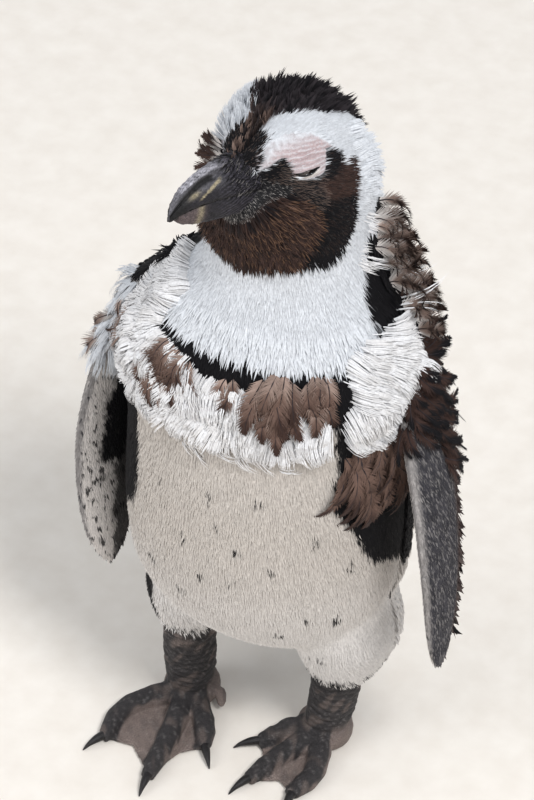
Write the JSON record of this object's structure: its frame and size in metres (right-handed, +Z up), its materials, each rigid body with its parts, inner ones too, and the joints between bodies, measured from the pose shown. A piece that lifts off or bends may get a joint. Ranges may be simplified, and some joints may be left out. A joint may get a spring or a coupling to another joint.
{
  "type": "african penguin",
  "caption": "Standing penguin in moult, head turned and bill level, flippers held off the body, webbed clawed feet and a short wedge tail.",
  "frame": {"origin": "middle of the outline's base, on the floor", "axes": "+Z up, the body faces -Y, the bird's left is +X"},
  "size_m": [0.2436, 0.2012, 0.507],
  "materials": {
    "plumage_pale": "soft matte feathers",
    "plumage_dark": "soft matte feathers",
    "bill_horn": "satin ridged horn",
    "eye": "wet gloss",
    "claw_horn": "polished horn",
    "foot_skin": "scaly leathery skin"
  },
  "bodies": {
    "root": {"trunk": "plumage_pale", "neck": "plumage_pale", "head": "plumage_dark", "bill_upper": "bill_horn", "bill_lower": "bill_horn", "tail": "plumage_dark", "eye_left": "eye", "flipper_left": "plumage_dark", "thigh_left": "plumage_pale", "shank_left": "foot_skin", "foot_left": "foot_skin", "claw_left_1": "claw_horn", "claw_left_2": "claw_horn", "claw_left_3": "claw_horn", "eye_right": "eye", "flipper_right": "plumage_dark", "thigh_right": "plumage_pale", "shank_right": "foot_skin", "foot_right": "foot_skin", "claw_right_1": "claw_horn", "claw_right_2": "claw_horn", "claw_right_3": "claw_horn"}
  },
  "joints": []
}
